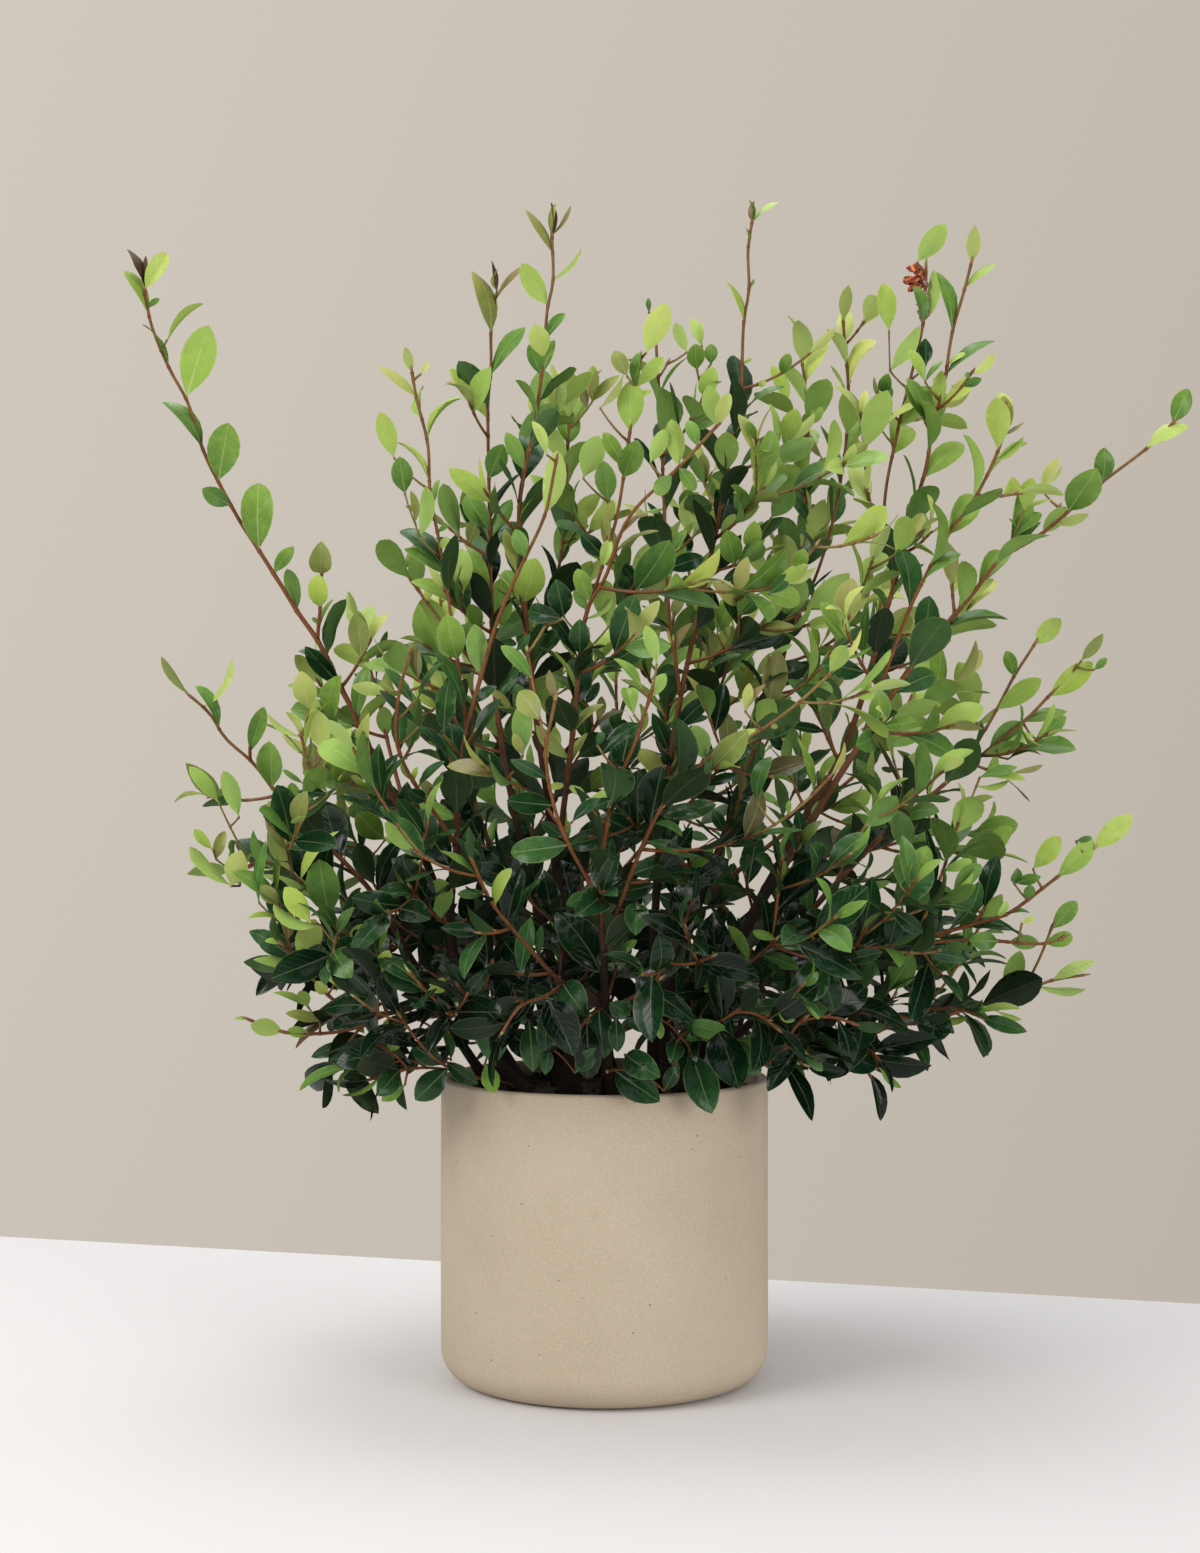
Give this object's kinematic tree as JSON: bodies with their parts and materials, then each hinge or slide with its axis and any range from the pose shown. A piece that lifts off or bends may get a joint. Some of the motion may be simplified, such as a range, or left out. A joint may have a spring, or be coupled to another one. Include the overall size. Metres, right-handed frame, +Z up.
{
  "type": "potted camellia shrub",
  "caption": "Small-leaved evergreen camellia shrub, several leafy stems rising from dark soil in a straight round sand-coloured stoneware planter.",
  "frame": {"origin": "the centre of the planter's flat base, on the ground", "axes": "+Z up along the planter's axis, the plant's front faces -Y, +X to the right seen from the front"},
  "size_m": [0.9605, 0.6759, 1.1051],
  "materials": {
    "stoneware": "matte sand-coloured stoneware with a fine pale grain and a few tiny dark pits",
    "potting_mix": "dark moist potting mix, crumbs and fibres",
    "foliage": "glossy leaves, lime green on young shoots to deep green inside",
    "bark": "smooth reddish-brown bark, darker and rougher at the base",
    "young_growth": "bronze buds and unfolding leaves",
    "dried_bloom": "crumpled rust-brown dried petals"
  },
  "bodies": {
    "root": {"planter": "stoneware", "soil": "potting_mix", "stem_left_low": "foliage", "stem_left_long": "foliage", "stem_orange": "foliage", "stem_upright": "foliage", "stem_centre": "foliage", "stem_thin": "foliage", "stem_right_tall": "foliage", "stem_right_long": "foliage", "stem_right_middle": "foliage", "stem_right_low": "foliage", "stem_front": "foliage", "stem_back_left": "foliage", "stem_back_right": "foliage", "stem_back": "foliage"}
  },
  "joints": []
}
